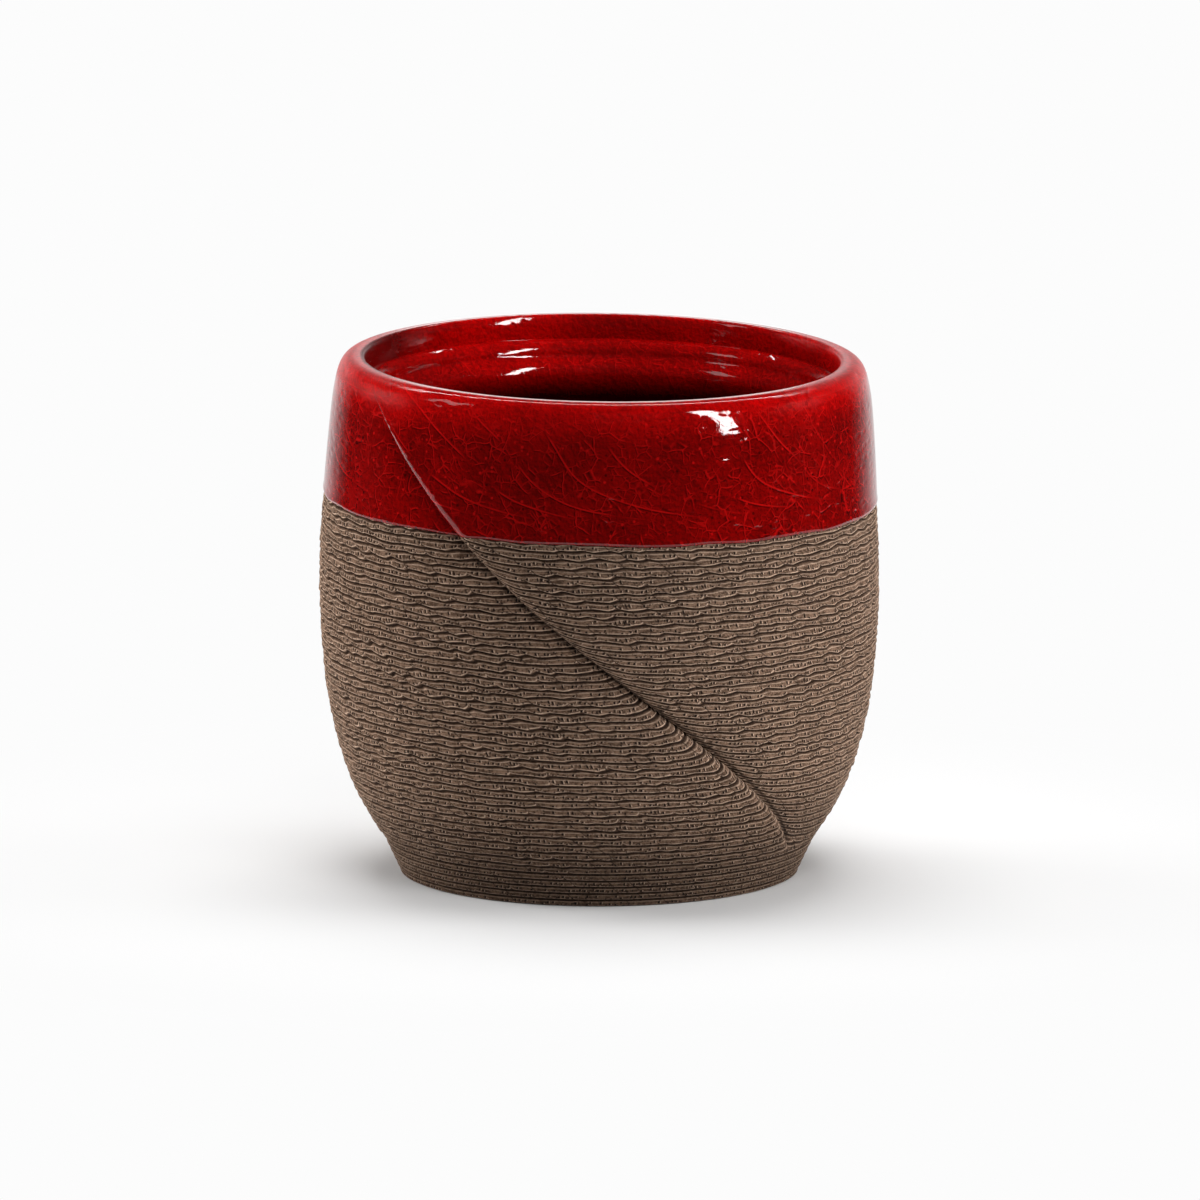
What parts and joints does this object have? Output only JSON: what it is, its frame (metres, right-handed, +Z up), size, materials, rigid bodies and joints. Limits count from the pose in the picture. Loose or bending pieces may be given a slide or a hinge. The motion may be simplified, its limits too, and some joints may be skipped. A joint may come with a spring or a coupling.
{
  "type": "double espresso cup",
  "caption": "Handleless barrel-shaped stoneware cup of stacked clay beads with a diagonal crease and a red crackle glaze on rim, upper band and inside.",
  "frame": {"origin": "centre of the underside of the base, on the table", "axes": "+Z up along the cup's axis; the side that faces the viewer in the picture is -Y, with +X to its right"},
  "size_m": [0.0682, 0.0686, 0.0635],
  "materials": {
    "base_clay": "unglazed brown stoneware, slightly darker at the foot",
    "clay": "unglazed brown-grey stoneware laid in thin beads, matt",
    "glaze": "glossy deep red glaze with a fine crackle",
    "lining_glaze": "glossy deep red glaze with a fine crackle, pooled thicker inside"
  },
  "bodies": {
    "root": {"base_disc": "base_clay", "bead_wall": "clay", "glaze_band": "glaze", "glaze_lining": "lining_glaze"}
  },
  "joints": []
}
